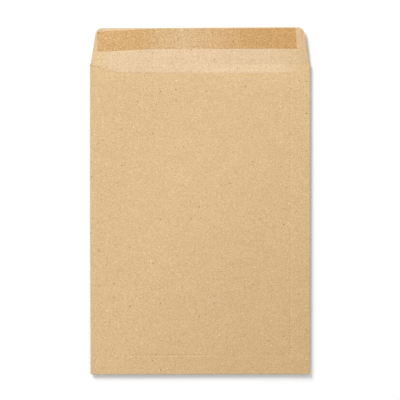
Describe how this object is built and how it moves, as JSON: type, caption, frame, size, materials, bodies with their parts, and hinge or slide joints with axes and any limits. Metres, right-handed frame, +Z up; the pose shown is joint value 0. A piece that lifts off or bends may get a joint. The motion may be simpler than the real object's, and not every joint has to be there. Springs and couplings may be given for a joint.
{
  "type": "paper envelope",
  "caption": "Plain buff gummed pocket envelope lying flat with its seam side up and its closure flap open, folded from one sheet of paper.",
  "frame": {"origin": "middle of the outline with the closure flap open, on the front panel's outer face, which the envelope lies on", "axes": "+X across the envelope towards the side seam flap, +Y from the closed bottom towards the closure flap, +Z up out of the seam side"},
  "size_m": [0.229, 0.3606, 0.0059],
  "materials": {
    "buff_paper": "matte",
    "dried_gum": "satin",
    "seam_glue": "matte"
  },
  "bodies": {
    "root": {"paper_sheet": "buff_paper", "gum_strip": "dried_gum", "side_seam_glue": "seam_glue", "bottom_seam_glue": "seam_glue"}
  },
  "joints": []
}
